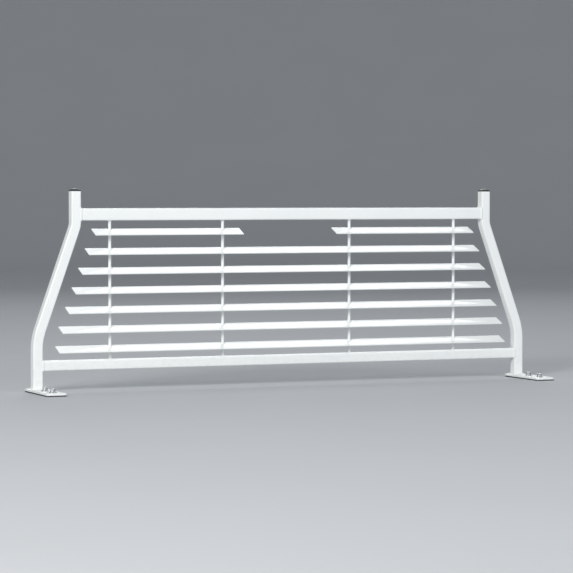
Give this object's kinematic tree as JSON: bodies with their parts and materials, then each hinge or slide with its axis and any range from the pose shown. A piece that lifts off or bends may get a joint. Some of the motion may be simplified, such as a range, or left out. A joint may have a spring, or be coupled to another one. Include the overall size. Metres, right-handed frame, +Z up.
{
  "type": "headache rack",
  "caption": "Louvered pickup headache rack: bent square-tube uprights on foot plates, two crossbars, sloped slats on round rods, and a brake-light window in the top slat.",
  "frame": {"origin": "middle of the rack's width and of the foot plates' length, on the underside of the foot pads, where they rest on the bed rails", "axes": "+X to the truck's right, +Y forward towards the cab, +Z up"},
  "size_m": [1.7546, 0.2286, 0.633],
  "materials": {
    "paint": "gloss white powder coat",
    "rubber": "matt black",
    "cap_plastic": "satin black, finely grained",
    "hardware": "bright zinc plate"
  },
  "bodies": {
    "root": {"upright_left": "paint", "upright_right": "paint", "top_crossbar": "paint", "bottom_crossbar": "paint", "louver_1_left": "paint", "louver_1_right": "paint", "louver_2": "paint", "louver_3": "paint", "louver_4": "paint", "louver_5": "paint", "louver_6": "paint", "louver_7": "paint", "rod_1": "paint", "rod_2": "paint", "rod_3": "paint", "rod_4": "paint", "foot_plate_left": "paint", "foot_pad_left": "rubber", "end_cap_left": "cap_plastic", "foot_plate_right": "paint", "foot_pad_right": "rubber", "end_cap_right": "cap_plastic", "bolt_left_front": "hardware", "washer_left_front": "hardware", "lock_washer_left_front": "hardware", "bolt_left_rear": "hardware", "washer_left_rear": "hardware", "lock_washer_left_rear": "hardware", "bolt_right_front": "hardware", "washer_right_front": "hardware", "lock_washer_right_front": "hardware", "bolt_right_rear": "hardware", "washer_right_rear": "hardware", "lock_washer_right_rear": "hardware"}
  },
  "joints": []
}
